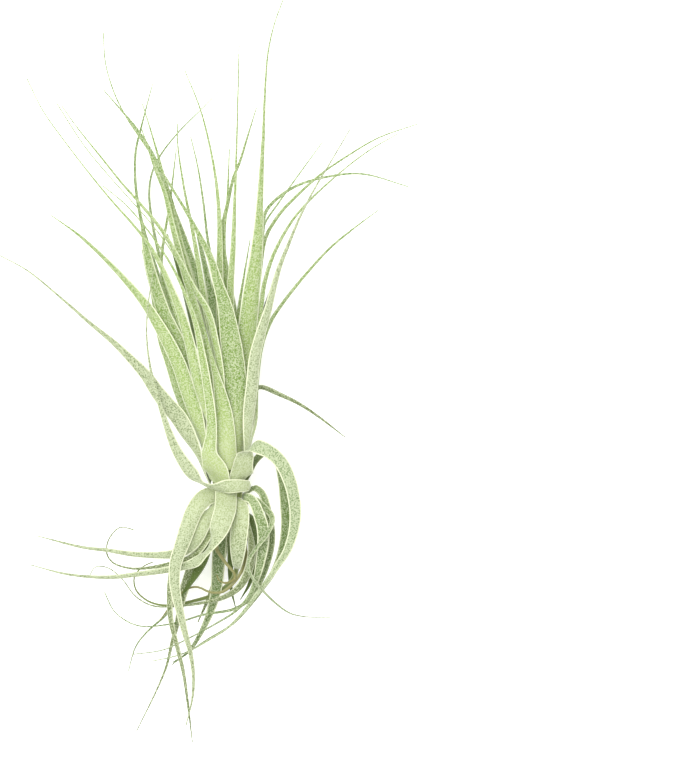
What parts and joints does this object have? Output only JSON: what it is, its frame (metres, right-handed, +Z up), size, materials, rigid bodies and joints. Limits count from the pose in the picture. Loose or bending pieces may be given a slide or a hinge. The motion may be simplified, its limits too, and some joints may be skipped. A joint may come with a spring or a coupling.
{
  "type": "air plant",
  "caption": "Tillandsia gardneri air plant lying on its side: a rosette of silvery tapering leaves that sweep up from a neck, over a skirt of drooping old leaves.",
  "frame": {"origin": "the flat spot under the neck that the plant rests on, on the surface it lies on", "axes": "+Y along the plant from its neck towards the longest leaf tips, +Z up from the surface, +X to the right when the plant is seen from above with its tips at the top"},
  "size_m": [0.1673, 0.2973, 0.0688],
  "materials": {
    "leaf_fresh": "matt leaf under a fine silvery scurf",
    "leaf_silver": "matt leaf under a dense silvery scurf",
    "leaf_old": "matt ageing leaf",
    "leaf_dry": "matt dead leaf, papery",
    "stem": "matt, covered by leaf bases"
  },
  "bodies": {
    "root": {"stem": "stem", "upper_leaf_01": "leaf_fresh", "upper_leaf_02": "leaf_fresh", "upper_leaf_03": "leaf_fresh", "upper_leaf_04": "leaf_fresh", "upper_leaf_05": "leaf_silver", "upper_leaf_06": "leaf_fresh", "upper_leaf_07": "leaf_fresh", "upper_leaf_08": "leaf_fresh", "upper_leaf_09": "leaf_fresh", "upper_leaf_10": "leaf_fresh", "upper_leaf_11": "leaf_fresh", "upper_leaf_12": "leaf_fresh", "upper_leaf_13": "leaf_fresh", "upper_leaf_14": "leaf_fresh", "upper_leaf_15": "leaf_fresh", "upper_leaf_16": "leaf_fresh", "upper_leaf_17": "leaf_fresh", "upper_leaf_18": "leaf_fresh", "upper_leaf_19": "leaf_fresh", "upper_leaf_20": "leaf_fresh", "upper_leaf_21": "leaf_fresh", "upper_leaf_22": "leaf_fresh", "upper_leaf_23": "leaf_fresh", "upper_leaf_24": "leaf_fresh", "upper_leaf_25": "leaf_fresh", "upper_leaf_26": "leaf_old", "upper_leaf_27": "leaf_silver", "upper_leaf_28": "leaf_fresh", "upper_leaf_29": "leaf_fresh", "upper_leaf_30": "leaf_fresh", "upper_leaf_31": "leaf_fresh", "upper_leaf_32": "leaf_fresh", "upper_leaf_33": "leaf_fresh", "collar_leaf": "leaf_silver", "arching_leaf_1": "leaf_silver", "arching_leaf_2": "leaf_old", "arching_leaf_3": "leaf_old", "resting_leaf_1": "leaf_fresh", "resting_leaf_2": "leaf_fresh", "resting_leaf_3": "leaf_fresh", "lower_leaf_01": "leaf_silver", "lower_leaf_02": "leaf_silver", "lower_leaf_03": "leaf_silver", "lower_leaf_04": "leaf_old", "lower_leaf_05": "leaf_silver", "lower_leaf_06": "leaf_old", "lower_leaf_07": "leaf_old", "lower_leaf_08": "leaf_old", "lower_leaf_09": "leaf_old", "lower_leaf_10": "leaf_dry", "lower_leaf_11": "leaf_old", "lower_leaf_12": "leaf_old", "lower_leaf_13": "leaf_old", "lower_leaf_14": "leaf_dry", "lower_leaf_15": "leaf_old", "lower_leaf_16": "leaf_old", "lower_leaf_17": "leaf_old", "lower_leaf_18": "leaf_old", "lower_leaf_19": "leaf_dry"}
  },
  "joints": []
}
